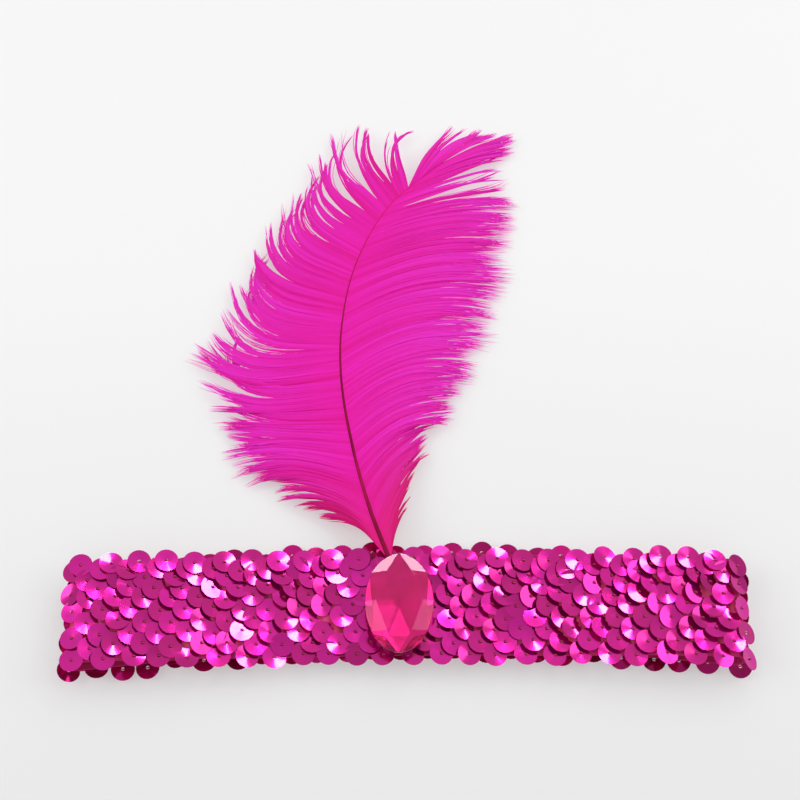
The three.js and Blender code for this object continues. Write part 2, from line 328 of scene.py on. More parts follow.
def bezier(a, b, c, d, count):
    t = np.linspace(0, 1, count)[:, None]
    a, b, c, d = map(np.array, (a, b, c, d))
    return a * (1 - t) ** 3 + 3 * b * t * (1 - t) ** 2 + 3 * c * t ** 2 * (1 - t) + d * t ** 3


def loopPath():
    fold, low, steps = band["foldX"], band["lowerZ"], band["steps"]
    high, shut = low + band["foldHeight"], low + band["shutHeight"]
    shutX, ease, radius = band["shutX"], band["ease"], band["foldHeight"] / 2
    sweep = np.linspace(-math.pi / 2, math.pi / 2, steps["arc"])[:, None]
    arc = np.hstack([np.cos(sweep), np.sin(sweep)]) * radius
    middle = (low + high) / 2
    slope = bezier((fold, high), (fold - ease, high), (shutX + ease, shut), (shutX, shut), steps["slope"])
    line = np.vstack([
        np.linspace((0, low), (fold, low), steps["run"]),
        arc + (fold, middle),
        slope,
        np.linspace((shutX, shut), (-shutX, shut), steps["shut"]),
        slope[::-1] * (-1, 1),
        (-fold, middle) - arc,
        np.linspace((-fold, low), (0, low), steps["run"]),
    ])
    keep = np.append(True, np.linalg.norm(np.diff(line, axis=0), axis=1) > tiny)
    return line[keep]


loopLine = loopPath()
loopLengths = lengthsAlong(loopLine)
loopLength = loopLengths[-1]


def onLoop(along):
    # place, way along and way out at distances from the middle of the lower run, anticlockwise
    place, ahead, behind = (pointsAt(np.mod(along + step, loopLength), loopLengths, loopLine)
                            for step in (0.0, band["probe"], -band["probe"]))
    way = unit(ahead - behind)
    out = np.stack([way[..., 1], -way[..., 0]], axis=-1)
    return place, way, out


def bowed(points):
    # the ends of the band lie nearer than its middle, and the lower run is set back
    share = np.clip(points[..., 2] / (band["lowerZ"] + band["foldHeight"]), 0, band["bowLimit"])
    bow = band["lowerBow"] + (band["upperBow"] - band["lowerBow"]) * share
    out = (points[..., 0] / band["foldX"]) ** 2
    lowerTop = band["lowerZ"] + band["wall"] / 2
    upperFoot = band["lowerZ"] + band["shutHeight"] - band["wall"] / 2
    lower = 1 - smoothstep(lowerTop, upperFoot, points[..., 2])
    moved = points.copy()
    moved[..., 1] += band["lowerShift"] * lower * np.maximum(1 - out, 0) - bow * out
    return moved


# knitted elastic under the sequins

knit = {
    "cordPitch": 1.45,
    "cordRise": 0.16,
    "alongSteps": 520,
    "acrossSteps": 80,
    "tones": ((0.0, (0.45, 0.02, 0.08)), (0.55, (0.68, 0.045, 0.16)), (1.0, (0.8, 0.09, 0.24))),
    "paintedShadeTone": (0.55, 0.02, 0.15),  # painted shade on the inside of the loop and along the selvedges
    "selvedge": (3.5, 0.5),  # in from the edge, where the painted shade starts and where it is full
    "loops": {"Scale": 95.0, "Distortion": 3.0, "Detail": 2.0, "Detail Scale": 2.0},
    "cords": {"Scale": 44.0, "Distortion": 1.2, "Detail": 1.0},
    "cordShare": 0.4,
    "bump": {"Strength": 0.6, "Distance": 0.0003},
    "finish": {"Roughness": 0.9, "Specular IOR Level": 0.2},
}


def knitMaterial():
    material, tree, shader = newMaterial("elasticKnit")
    where = node(tree, "ShaderNodeUVMap", {"uv_map": "UVMap"})
    height = node(tree, "ShaderNodeMix", {"data_type": "FLOAT"}, {0: knit["cordShare"]})
    for place, direction, values in ((2, "X", knit["loops"]), (3, "Y", knit["cords"])):
        wave = node(tree, "ShaderNodeTexWave", {"wave_type": "BANDS", "bands_direction": direction}, values)
        link(where.outputs[0], wave.inputs["Vector"])
        link(wave.outputs["Fac"], height.inputs[place])
    # the knit's tone follows the same height as its bump: darker in the low places between loops and cords, as painted
    # shade
    tones = ramp(tree, height.outputs[0], knit["tones"])
    # painted shade: darker on the inside of the loop and towards the selvedges
    surfaceColour = mixColours(tree, attribute(tree, "depth"), tones, opaque(knit["paintedShadeTone"]))
    link(surfaceColour, shader.inputs["Base Color"])
    bump = node(tree, "ShaderNodeBump", None, knit["bump"])
    link(height.outputs[0], bump.inputs["Height"])
    link(bump.outputs[0], shader.inputs["Normal"])
    setInputs(shader, knit["finish"])
    return material


def knitFaces(count, rows):
    # the outer grid, the inner one after it, and the two selvedges that join them
    faces, inner = [], count * rows
    for i in range(count):
        j = (i + 1) % count
        for k in range(rows - 1):
            a, b, c, d = i * rows + k, j * rows + k, j * rows + k + 1, i * rows + k + 1
            faces.append((d, c, b, a))
            faces.append((a + inner, b + inner, c + inner, d + inner))
        for k, flip in ((0, False), (rows - 1, True)):
            a, b = i * rows + k, j * rows + k
            selvedge = (a, b, b + inner, a + inner)
            faces.append(selvedge[::-1] if flip else selvedge)
    return faces


def knitBand():
    along = np.arange(knit["alongSteps"]) / knit["alongSteps"] * loopLength
    across = np.linspace(-0.5, 0.5, knit["acrossSteps"] + 1) * band["width"]
    place, _, out = onLoop(along)
    cords = knit["cordRise"] * (0.5 + 0.5 * np.cos(across / knit["cordPitch"] * 2 * math.pi))
    count, rows = len(along), len(across)
    sides = []
    for sign in (1, -1):
        lift = sign * (band["wall"] / 2 - knit["cordRise"] + cords)
        flat = place[:, None, :] + out[:, None, :] * lift[None, :, None]
        points = np.stack([flat[..., 0], np.broadcast_to(across, (count, rows)), flat[..., 1]], axis=-1)
        sides.append(bowed(points).reshape(-1, 3))
    piece = meshPiece("knit_band", np.vstack(sides) * mm, knitFaces(count, rows), knitMaterial())
    mesh = piece.data
    # the painted shade grows towards the selvedges on the outer side and covers the whole inner side
    start, full = (band["width"] / 2 - inset for inset in knit["selvedge"])
    edge = smoothstep(start, full, np.abs(across))
    pointAttribute(mesh, "depth", np.concatenate([np.tile(edge, count), np.ones(count * rows)]))
    spread = np.stack(np.meshgrid(along * mm, across * mm, indexing="ij"), axis=-1).reshape(-1, 2)
    corners = np.empty(len(mesh.loops), dtype=int)
    mesh.loops.foreach_get("vertex_index", corners)
    layer = mesh.uv_layers.new(name="UVMap")
    layer.data.foreach_set("uv", np.vstack([spread, spread])[corners].ravel())
    return piece


bandPiece = knitBand()
dress(bandPiece, "stretch_band")
print("loop of the band", round(loopLength, 1), "mm")


# the stone's measures come first, because the sequins beside it lean away from it

gem = {
    "x": -2.0,
    "y": -0.6,
    "backZ": 10.75,
    "halfWidth": 10.0,
    "halfLength": 14.75,
    "height": 5.2,
    "rim": 0.4,  # heights over the back of the bevelled rim, the girdle and the crown's corners
    "girdle": 1.45,
    "crown": 3.2,
    "taper": 0.97,
    "sides": 72,
    # corners of the crown's six upper facets as shares of the half sizes, and of the girdle in degrees
    "crownEnd": (0.35, 0.6),
    "crownSide": (0.68, 0.0),
    "girdleTurns": (0, 36, 90),
    "bevel": 0.16,
    "bevelAbove": 0.02,  # over the rim
    "bevelAngle": 0.1,  # radians between facets
    "foilFacing": -0.9,
    "cutSlack": 1e-5,
    "weld": 1e-3,
    "acrylic": {
        "Base Color": (1.0, 0.5, 0.8, 1), "Specular Tint": (1.0, 0.55, 0.75, 1),
        "Transmission Weight": 1.0, "Roughness": 0.02, "IOR": 1.49,
    },
    "foilTones": ((0.3, (0.72, 0.011, 0.175)), (0.7, (0.87, 0.019, 0.28))),
    "foilGrain": {"scale": 250.0, "detail": 3.0},
    "foilFinish": {"Metallic": 0.75, "Roughness": 0.08},
}


# cup sequins with their stitches

sequin = {
    "radius": 3.5,
    "hole": 0.5,
    "cup": 0.22,
    "cupShares": (0.2, 1.4),  # from nearly flat to deep
    "film": 0.08,
    "sides": 20,
    "rimAngle": 0.8,  # radians between faces, past which an edge stays sharp
    "pitch": 8.1,  # along a row
    "floorGap": 0.02,
    "dropFrom": (45.0, 70.0),  # along X, where the drop of a field starts and where it is full
    "stoneNear": (1.3, 1.7),  # in half sizes of the stone, where the lean from it is full and where it ends
    "tones": ((0.0, (0.54, 0.002, 0.2)), (0.5, (0.63, 0.003, 0.26)), (1.0, (0.71, 0.004, 0.33))),
    "backTones": ((0.0, (0.34, 0.005, 0.1)), (0.6, (0.56, 0.007, 0.18)), (1.0, (0.7, 0.009, 0.25))),
    "brush": {"scale": 700.0, "detail": 2.0},
    "roughness": {"To Min": 0.115, "To Max": 0.175},
    "coat": {"To Min": 0.55, "To Max": 0.12},  # on the face and on the back
    "finish": {"Metallic": 0.8, "Specular Tint": (1.0, 0.4, 0.85, 1), "Coat Roughness": 0.08},
}
stitch = {
    "radius": 0.22,
    "sides": 5,
    "steps": 5,
    "points": {"Start": (-0.25, 0.1, -0.3), "Middle": (0.1, 0.0, 0.75), "End": (0.6, -0.2, -0.1)},
    "tones": ((0.3, (0.34, 0.01, 0.06)), (0.7, (0.6, 0.03, 0.13))),
    "fibre": {"scale": 2500.0, "detail": 2.0},
    "finish": {"Roughness": 0.6},
}

# one row along the band: how far across it lies, and its shift along in pitches
sequinRows = (
    (14.2, 0.29), (11.9, 0.95), (9.5, 0.50), (6.6, 0.93), (3.4, 0.48),
    (0.1, 0.04), (-3.4, 0.58), (-7.0, 0.08), (-10.7, 0.62), (-14.4, 0.22),
)

# a run of the band: lift off the middle of its wall, pull towards level at the folds, scatter of places, how far
# nearer it lies at the right end, lean from the stone, then degrees of left rim up, near rim up and wobble
upperField = {
    "lift": 1.25, "foldUp": 0.8, "jitter": 0.7, "drop": 0.0, "stoneAway": 0.5,
    "lean": 12.0, "nearUp": 7.0, "wobble": 13.0, "seed": 3,
}
lowerField = {
    "lift": 0.95, "foldUp": -0.8, "jitter": 1.2, "drop": 0.7, "stoneAway": 0.0,
    "lean": 3.0, "nearUp": 0.0, "wobble": 18.0, "seed": 8,
}


def filmMaterial():
    material, tree, shader = newMaterial("sequinFilm")
    tint, under = attribute(tree, "tint"), attribute(tree, "under")
    faces, backs = ramp(tree, tint, sequin["tones"]), ramp(tree, tint, sequin["backTones"])
    link(mixColours(tree, under, faces, backs), shader.inputs["Base Color"])
    link(mapRange(tree, under, sequin["coat"]), shader.inputs["Coat Weight"])
    brushed = mapRange(tree, noise(tree, **sequin["brush"]), sequin["roughness"])
    link(brushed, shader.inputs["Roughness"])
    setInputs(shader, sequin["finish"])
    return material


def threadMaterial():
    material, tree, shader = newMaterial("stitchThread")
    tones = ramp(tree, noise(tree, **stitch["fibre"]), stitch["tones"])
    link(tones, shader.inputs["Base Color"])
    setInputs(shader, stitch["finish"])
    return material


def cupNodes(tree, start):
    # a shallow cone round a hole, with both faces and its rims
    cone = node(tree, "GeometryNodeMeshCone", {"fill_type": "NONE"})
    for size, target in (("Sides", "Vertices"), ("Radius", "Radius Top"), ("Hole", "Radius Bottom"), ("Cup", "Depth")):
        link(start.outputs[size], cone.inputs[target])
    thick = node(tree, "GeometryNodeExtrudeMesh", {"mode": "FACES"}, {"Individual": False})
    link(cone.outputs["Mesh"], thick.inputs["Mesh"])
    link(start.outputs["Film"], thick.inputs["Offset Scale"])
    below = node(tree, "GeometryNodeStoreNamedAttribute", {"data_type": "FLOAT", "domain": "FACE"},
                 {"Name": "under", "Value": 1.0})
    link(thick.outputs["Mesh"], below.inputs["Geometry"])
    inside = node(tree, "GeometryNodeFlipFaces")
    link(cone.outputs["Mesh"], inside.inputs["Mesh"])
    shell = node(tree, "GeometryNodeJoinGeometry")
    link(inside.outputs[0], shell.inputs[0])
    link(below.outputs[0], shell.inputs[0])
    closed = node(tree, "GeometryNodeMergeByDistance", None, {"Distance": tiny})
    link(shell.outputs[0], closed.inputs["Geometry"])
    corner = node(tree, "GeometryNodeInputMeshEdgeAngle")
    isRim = node(tree, "FunctionNodeCompare", {"data_type": "FLOAT", "operation": "GREATER_THAN"},
                 {1: sequin["rimAngle"]})
    link(corner.outputs["Unsigned Angle"], isRim.inputs[0])
    smooth = node(tree, "GeometryNodeSetShadeSmooth", {"domain": "FACE"}, {"Shade Smooth": True})
    sharp = node(tree, "GeometryNodeSetShadeSmooth", {"domain": "EDGE"}, {"Shade Smooth": False})
    link(closed.outputs[0], smooth.inputs["Geometry"])
    link(smooth.outputs[0], sharp.inputs["Geometry"])
    link(isRim.outputs[0], sharp.inputs["Selection"])
    return sharp


def stitchNodes(tree, start):
    # up through the hole and down again over its edge
    points = {key: tuple(v * mm for v in place) for key, place in stitch["points"].items()}
    line = node(tree, "GeometryNodeCurveQuadraticBezier", None, {"Resolution": stitch["steps"], **points})
    ring = node(tree, "GeometryNodeCurvePrimitiveCircle", {"mode": "RADIUS"}, {"Resolution": stitch["sides"]})
    link(start.outputs["Thread"], ring.inputs["Radius"])
    cord = node(tree, "GeometryNodeCurveToMesh", None, {"Fill Caps": True})
    link(line.outputs[0], cord.inputs["Curve"])
    link(ring.outputs[0], cord.inputs["Profile Curve"])
    return cord


def vectorMath(tree, operation, sources):
    made = node(tree, "ShaderNodeVectorMath", {"operation": operation})
    for target, source in sources.items():
        link(source.outputs[0], made.inputs[target])
    return made


def lieNodes(tree, start):
    # a turn onto the band, then its lean and a wobble that is seldom large
    axes = node(tree, "FunctionNodeAxesToRotation", {"primary_axis": "Z", "secondary_axis": "X"})
    for target, name in enumerate(("out", "ahead")):
        stored = node(tree, "GeometryNodeInputNamedAttribute", {"data_type": "FLOAT_VECTOR"}, {"Name": name})
        link(stored.outputs[0], axes.inputs[target])
    scatter = node(tree, "FunctionNodeRandomValue", {"data_type": "FLOAT_VECTOR"},
                   {"Min": (-1, -1, -1), "Max": (1, 1, 1)})
    link(start.outputs["Seed"], scatter.inputs["Seed"])
    size = vectorMath(tree, "ABSOLUTE", {0: scatter})
    seldom = vectorMath(tree, "MULTIPLY", {0: scatter, 1: size})
    swing = vectorMath(tree, "SCALE", {0: seldom})
    link(start.outputs["Wobble"], swing.inputs["Scale"])
    lean = node(tree, "ShaderNodeCombineXYZ")
    link(start.outputs["Pitch"], lean.inputs["X"])
    link(start.outputs["Lean"], lean.inputs["Y"])
    both = vectorMath(tree, "ADD", {0: swing, 1: lean})
    turn = node(tree, "FunctionNodeEulerToRotation")
    link(both.outputs[0], turn.inputs[0])
    lie = node(tree, "FunctionNodeRotateRotation", {"rotation_space": "LOCAL"})
    link(axes.outputs[0], lie.inputs[0])
    link(turn.outputs[0], lie.inputs[1])
    return lie


def sequinTree(film, thread):
    # points carry out (away from the band) and ahead (along it); each gets a cup and a stitch
    tree = bpy.data.node_groups.new("sequinField", "GeometryNodeTree")
    sockets = tree.interface
    sockets.new_socket("Geometry", in_out="INPUT", socket_type="NodeSocketGeometry")
    for name in ("Radius", "Hole", "Cup", "Film", "Lean", "Pitch", "Wobble", "Thread"):
        sockets.new_socket(name, in_out="INPUT", socket_type="NodeSocketFloat")
    for name in ("Sides", "Seed"):
        sockets.new_socket(name, in_out="INPUT", socket_type="NodeSocketInt")
    sockets.new_socket("Geometry", in_out="OUTPUT", socket_type="NodeSocketGeometry")
    start, end = node(tree, "NodeGroupInput"), node(tree, "NodeGroupOutput")
    cup, cord, lie = cupNodes(tree, start), stitchNodes(tree, start), lieNodes(tree, start)
    shade = node(tree, "FunctionNodeRandomValue", {"data_type": "FLOAT"})
    shallow, deep = sequin["cupShares"]
    depth = node(tree, "FunctionNodeRandomValue", {"data_type": "FLOAT_VECTOR"},
                 {"Min": (1, 1, shallow), "Max": (1, 1, deep)})
    for chance in (shade, depth):
        link(start.outputs["Seed"], chance.inputs["Seed"])
    coats = []
    for shape, material in ((cup, film), (cord, thread)):
        placed = node(tree, "GeometryNodeInstanceOnPoints")
        if material == film:
            link(depth.outputs[0], placed.inputs["Scale"])
        link(start.outputs["Geometry"], placed.inputs["Points"])
        link(shape.outputs[0], placed.inputs["Instance"])
        link(lie.outputs[0], placed.inputs["Rotation"])
        tint = node(tree, "GeometryNodeStoreNamedAttribute", {"data_type": "FLOAT", "domain": "INSTANCE"},
                    {"Name": "tint"})
        link(placed.outputs[0], tint.inputs["Geometry"])
        link(shade.outputs[1], tint.inputs["Value"])
        real = node(tree, "GeometryNodeRealizeInstances")
        link(tint.outputs[0], real.inputs[0])
        coat = node(tree, "GeometryNodeSetMaterial", None, {"Material": material})
        link(real.outputs[0], coat.inputs["Geometry"])
        coats.append(coat)
    joined = node(tree, "GeometryNodeJoinGeometry")
    for coat in reversed(coats):
        link(coat.outputs[0], joined.inputs[0])
    link(joined.outputs[0], end.inputs[0])
    return tree


def sequinPlaces(centre, reach, field):
    # points on the loop within a reach of a place, with their out and ahead ways
    along, across = [], []
    for rowAcross, shift in sequinRows:
        count = math.ceil(reach / sequin["pitch"])
        steps = (np.arange(-count, count + 1) + shift) * sequin["pitch"]
        steps = steps + dice.uniform(-1, 1, len(steps)) * field["jitter"]
        wander = dice.uniform(-1, 1, len(steps)) * field["jitter"]
        keep = np.abs(steps) < reach
        along.append(centre - steps[keep])
        across.append(rowAcross + wander[keep])
    along, across = np.concatenate(along), np.concatenate(across)
    place, _, out = onLoop(along)
    lifted = place + out * field["lift"]
    across = across - field["drop"] * smoothstep(*sequin["dropFrom"], place[:, 0])
    points = bowed(np.stack([lifted[:, 0], across, lifted[:, 1]], axis=1))
    # left of the stone they lean away from it, so that they don't mirror its side
    full, none = sequin["stoneNear"]
    fromStone = np.hypot((points[:, 0] - gem["x"]) / gem["halfWidth"], (points[:, 1] - gem["y"]) / gem["halfLength"])
    away = field["stoneAway"] * (1 - smoothstep(full, none, fromStone)) * (points[:, 0] < gem["x"])
    # at the folds they lie flatter than the band's wall does
    zero = np.zeros(len(along))
    outWays = unit(np.stack([out[:, 0] - away, zero, out[:, 1] + field["foldUp"]], axis=1))
    aheadWays = np.stack([outWays[:, 2], zero, -outWays[:, 0]], axis=1) * np.sign(field["foldUp"])
    return points, outWays, aheadWays


def sequinField(name, tree, centre, reach, field):
    points, outWays, aheadWays = sequinPlaces(centre, reach, field)
    mesh = bpy.data.meshes.new(name + "_places")
    mesh.from_pydata((points * mm).tolist(), [], [])
    pointAttribute(mesh, "out", outWays, "FLOAT_VECTOR")
    pointAttribute(mesh, "ahead", aheadWays, "FLOAT_VECTOR")
    holder = addObject(name + "_places", mesh)
    modifier = holder.modifiers.new("sequins", "NODES")
    modifier.node_group = tree
    wanted = {
        "Radius": sequin["radius"] * mm, "Hole": sequin["hole"] * mm, "Cup": sequin["cup"] * mm,
        "Film": sequin["film"] * mm, "Thread": stitch["radius"] * mm, "Sides": sequin["sides"],
        "Lean": math.radians(field["lean"]), "Pitch": -math.radians(field["nearUp"]),
        "Wobble": math.radians(field["wobble"]), "Seed": field["seed"],
    }
    for item in tree.interface.items_tree:
        if item.in_out == "INPUT" and item.name in wanted:
            modifier[item.identifier] = wanted[item.name]
    depsgraph = bpy.context.evaluated_depsgraph_get()
    made = bpy.data.meshes.new_from_object(holder.evaluated_get(depsgraph))
    bpy.data.objects.remove(holder)
    # what would go below the surface is pressed flat on it
    spots = np.empty(len(made.vertices) * 3)
    made.vertices.foreach_get("co", spots)
    spots[2::3] = np.maximum(spots[2::3], sequin["floorGap"] * mm)
    made.vertices.foreach_set("co", spots)
    return addObject(name, made)


halfLoop = loopLength / 2
foldMiddle = halfLoop - band["foldX"] - math.pi * band["foldHeight"] / 4
fieldTree = sequinTree(filmMaterial(), threadMaterial())
upperSequins = sequinField("sequins_upper", fieldTree, halfLoop, foldMiddle, upperField)
lowerSequins = sequinField("sequins_lower", fieldTree, 0.0, halfLoop - foldMiddle, lowerField)
dress(upperSequins, "sequins_front")
dress(lowerSequins, "sequins_back")


# the stone, with a foil back, on its pad of clear glue

glue = {
    "halfWidth": 8.4,
    "halfLength": 12.6,
    "lowZ": 8.05,
    "highZ": 10.6,
    "sides": 48,
    "rings": ((0.0, 0.97), (0.3, 1.05), (0.7, 1.06), (1.0, 0.98)),  # shares of its height and of its half sizes
    "lumps": ((0.035, 5, 1.0), (0.02, 11, 0.0)),  # size, times round and phase
    "finish": {"Base Color": (0.75, 0.62, 0.68, 1), "Transmission Weight": 0.9, "Roughness": 0.12, "IOR": 1.48},
}


def acrylicMaterial():
    material, _, shader = newMaterial("pinkAcrylic")
    setInputs(shader, gem["acrylic"])
    return material


def foilMaterial():
    material, tree, shader = newMaterial("foilBack")
    tones = ramp(tree, noise(tree, **gem["foilGrain"]), gem["foilTones"])
    link(tones, shader.inputs["Base Color"])
    setInputs(shader, gem["foilFinish"])
    return material


def glueMaterial():
    material, _, shader = newMaterial("clearGlue")
    setInputs(shader, glue["finish"])
    return material


def oval(halfWidth, halfLength, angle):
    return halfWidth * math.cos(angle), halfLength * math.sin(angle)


def stoneFacets():
    # each facet as three corners, in mm from the middle of the back
    def corner(share, z):
        return Vector((share[0] * gem["halfWidth"], share[1] * gem["halfLength"], z))
    peak = Vector((0, 0, gem["height"]))
    side, end = (corner(gem[key], gem["crown"]) for key in ("crownSide", "crownEnd"))
    rim = [corner(oval(1, 1, math.radians(turn)), gem["girdle"]) for turn in gem["girdleTurns"]]
    quarter = [(rim[0], rim[1], side), (side, rim[1], end), (rim[1], rim[2], end), (side, end, peak)]
    facets = []
    for flipX in (1, -1):
        for flipY in (1, -1):
            for facet in quarter:
                facets.append([Vector((p.x * flipX, p.y * flipY, p.z)) for p in facet])
    for flipY in (1, -1):
        for point in (rim[2], peak):
            facets.append([Vector((p.x, p.y * flipY, p.z)) for p in (point, end, Vector((-end.x, end.y, end.z)))])
    return facets


def gemBlank(shape):
    # an oval block with a bevelled rim
    sides, rings = gem["sides"], []
    for z, spread in ((0.0, gem["taper"]), (gem["rim"], 1.0), (gem["height"], 1.0)):
        ring = []
        for i in range(sides):
            x, y = oval(gem["halfWidth"] * spread, gem["halfLength"] * spread, i / sides * 2 * math.pi)
            ring.append(shape.verts.new((x, y, z)))
        rings.append(ring)
    for low, high in zip(rings, rings[1:]):
        for i in range(sides):
            j = (i + 1) % sides
            shape.faces.new((low[i], low[j], high[j], high[i]))
    shape.faces.new(rings[0][::-1])
    shape.faces.new(rings[-1])


def gemPiece():
    shape = bmesh.new()
    gemBlank(shape)
    for a, b, c in stoneFacets():
        way = (b - a).cross(c - a).normalized()
        way = way if way.z > 0 else -way
        cut = bmesh.ops.bisect_plane(shape, geom=shape.verts[:] + shape.edges[:] + shape.faces[:], plane_co=a,
                                     plane_no=way, clear_outer=True, dist=gem["cutSlack"])
        rim = [part for part in cut["geom_cut"] if isinstance(part, bmesh.types.BMEdge)]
        bmesh.ops.contextual_create(shape, geom=rim)
    bmesh.ops.remove_doubles(shape, verts=shape.verts, dist=gem["weld"])
    bmesh.ops.recalc_face_normals(shape, faces=shape.faces)
    lowest = gem["rim"] + gem["bevelAbove"]
    crown = [edge for edge in shape.edges
             if min(v.co.z for v in edge.verts) > lowest and edge.calc_face_angle(0) > gem["bevelAngle"]]
    bmesh.ops.bevel(shape, geom=crown, offset=gem["bevel"], segments=1, affect="EDGES", profile=0.5)
    for face in shape.faces:
        face.material_index = 1 if face.normal.z < gem["foilFacing"] else 0
    for vertex in shape.verts:
        vertex.co = (vertex.co + Vector((gem["x"], gem["y"], gem["backZ"]))) * mm
    mesh = bpy.data.meshes.new("gem_cut")
    shape.to_mesh(mesh)
    shape.free()
    mesh.materials.append(acrylicMaterial())
    mesh.materials.append(foilMaterial())
    return addObject("gem_cut", mesh)


def gluePiece():
    # a squeezed pad with a lumpy edge
    rings, sides = glue["rings"], glue["sides"]
    points = []
    for height, spread in rings:
        for i in range(sides):
            angle = i / sides * 2 * math.pi
            lump = 1 + sum(size * math.sin(times * angle + phase) for size, times, phase in glue["lumps"])
            x, y = oval(glue["halfWidth"] * spread * lump, glue["halfLength"] * spread * lump, angle)
            z = glue["lowZ"] + (glue["highZ"] - glue["lowZ"]) * height
            points.append((x + gem["x"], y + gem["y"], z))
    return meshPiece("glue_bead", np.array(points) * mm, tubeFaces(len(rings), sides), glueMaterial())


stone, pad = gemPiece(), gluePiece()
dress(stone, "gem_stone")
dress(pad, "glue_pad")


# the feather's quill

quill = {
    "points": (
        (-2.5, 6, 9.2), (-5.7, 15.3, 9.2), (-10.6, 29, 8.6), (-15.8, 49, 7.7), (-19.5, 72, 6.8),
        (-19.5, 91.5, 6.1), (-15, 114, 5.4), (-4.5, 135, 4.7), (10, 149.2, 4.2),
    ),
    "rootRadius": 0.8,
    "tipRadius": 0.17,
    "flat": 0.85,  # its height as a share of its width
    "sides": 12,
    "steps": 90,
    "probe": 0.5,  # each way along the quill, to read its direction
    "tones": ((0.3, (0.19, 0.002, 0.028)), (0.6, (0.32, 0.003, 0.05)), (0.8, (0.46, 0.006, 0.1))),
    "farTone": (0.72, 0.004, 0.13),
    "farSpan": (60.0, 150.0),  # along the quill, where the far tone starts and where it is full
    "streaks": {"scale": 300.0, "detail": 4.0, "stretch": (1, 0.06, 1)},
    "finish": {"Roughness": 0.5, "Specular IOR Level": 0.05},
}


def smoothCurve(points, perSpan=40):
    # a smooth line through points, with knots by the square roots of their distances
    def between(t, low, high, a, b):
        return (high - t) / (high - low) * a + (t - low) / (high - low) * b
    knots = np.append(0, np.cumsum(np.sqrt(np.linalg.norm(np.diff(points, axis=0), axis=1))))
    knots = np.concatenate([[knots[0] - (knots[1] - knots[0])], knots, [2 * knots[-1] - knots[-2]]])
    points = np.vstack([2 * points[0] - points[1], points, 2 * points[-1] - points[-2]])
    line = []
    for i in range(1, len(points) - 2):
        p, k = points[i - 1:i + 3], knots[i - 1:i + 3]
        t = np.linspace(k[1], k[2], perSpan, endpoint=False)[:, None]
        a1, a2, a3 = (between(t, k[j], k[j + 1], p[j], p[j + 1]) for j in range(3))
        b1, b2 = between(t, k[0], k[2], a1, a2), between(t, k[1], k[3], a2, a3)
        line.append(between(t, k[1], k[2], b1, b2))
    return np.vstack(line + [points[-2:-1]])


quillLine = smoothCurve(np.array(quill["points"], dtype=float))
quillLengths = lengthsAlong(quillLine)
quillLength = quillLengths[-1]


def onQuill(along):
    place, far, near = (pointsAt(along + step, quillLengths, quillLine)
                        for step in (0.0, quill["probe"], -quill["probe"]))
    way = unit(far - near)
    return place, way, levelAside(way)


def quillRadius(along):
    return quill["tipRadius"] + (quill["rootRadius"] - quill["tipRadius"]) * (1 - along / quillLength) ** 2


def quillMaterial():
    material, tree, shader = newMaterial("dyedQuill")
    tones = ramp(tree, noise(tree, **quill["streaks"]), quill["tones"])
    surfaceColour = mixColours(tree, attribute(tree, "far"), tones, opaque(quill["farTone"]))
    link(surfaceColour, shader.inputs["Base Color"])
    setInputs(shader, quill["finish"])
    return material


def quillPiece():
    sides = quill["sides"]
    along = np.linspace(0, quillLength, quill["steps"] + 1)
    place, way, aside = onQuill(along)
    up = np.cross(way, aside)[:, None, :]
    radius = quillRadius(along)[:, None, None]
    angle = (np.arange(sides) / sides * 2 * math.pi)[None, :, None]
    rings = place[:, None, :] + radius * (np.cos(angle) * aside[:, None, :] + quill["flat"] * np.sin(angle) * up)
    piece = meshPiece("quill_stem", rings.reshape(-1, 3) * mm, tubeFaces(len(along), sides), quillMaterial())
    pointAttribute(piece.data, "far", np.repeat(smoothstep(*quill["farSpan"], along), sides))
    return piece


dress(quillPiece(), "feather_quill")


# the feather's barbs: strands that part into wisps, which gather into tufts

